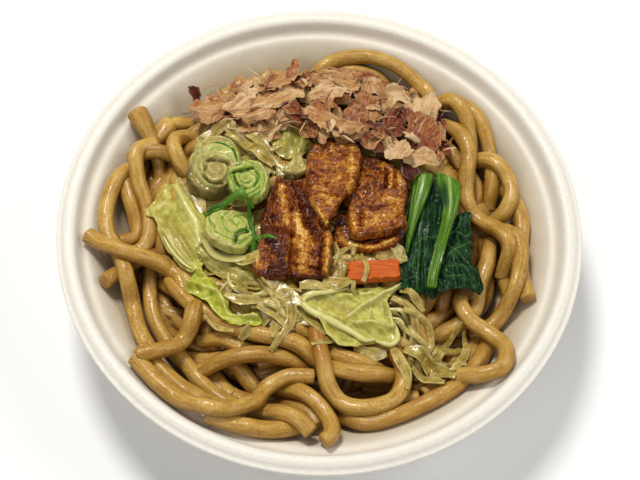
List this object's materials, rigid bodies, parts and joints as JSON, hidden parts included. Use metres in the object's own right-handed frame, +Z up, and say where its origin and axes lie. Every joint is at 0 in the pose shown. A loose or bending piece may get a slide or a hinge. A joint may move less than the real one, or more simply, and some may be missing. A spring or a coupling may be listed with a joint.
{
  "type": "noodle dish",
  "caption": "Yaki udon: thick fried noodles heaped in a round white takeaway tray, topped with pork, cabbage, leek, bean sprouts, carrot, leafy greens and bonito flakes.",
  "frame": {"origin": "middle of the tray's foot, on the table", "axes": "+Z up, out of the tray; -Y towards the eater, +X to the eater's right"},
  "size_m": [0.186, 0.186, 0.0532],
  "materials": {
    "tray_foam": "matt foamed moulding, off-white",
    "udon": "glossy soy-brown noodles; stands for cooked wheat noodles",
    "pork": "sticky glazed meat, dark brown; stands for fried pork",
    "carrot": "wet orange; stands for cooked carrot",
    "leaf_green": "wet dark green; stands for cooked leaf greens",
    "stem_green": "wet bright green; stands for cooked stems",
    "cabbage": "wet yellow green, a little translucent; stands for cooked cabbage",
    "leek": "wet pale green; stands for cooked leek",
    "sprout": "wet translucent straw colour; stands for bean sprouts and onion",
    "bonito": "dry papery pink tan; stands for dried bonito shavings"
  },
  "bodies": {
    "root": {"tray": "tray_foam", "noodles": "udon", "bonito_flakes": "bonito", "pork_left": "pork", "pork_top": "pork", "pork_round": "pork", "pork_slice": "pork", "pork_under": "pork", "carrot_slice": "carrot", "greens_leaf_left": "leaf_green", "greens_leaf_right": "leaf_green", "greens_stem_left": "stem_green", "greens_stem_right": "stem_green", "cabbage_left": "cabbage", "cabbage_middle": "cabbage", "cabbage_front_left": "cabbage", "cabbage_front": "cabbage", "cabbage_back": "cabbage", "leek_big": "leek", "leek_green": "leek", "leek_pale": "leek", "leek_chip": "leek", "sprouts_back_left": "sprout", "sprouts_front_left": "sprout", "sprouts_front_right": "sprout", "sprouts_middle": "sprout"}
  },
  "joints": []
}
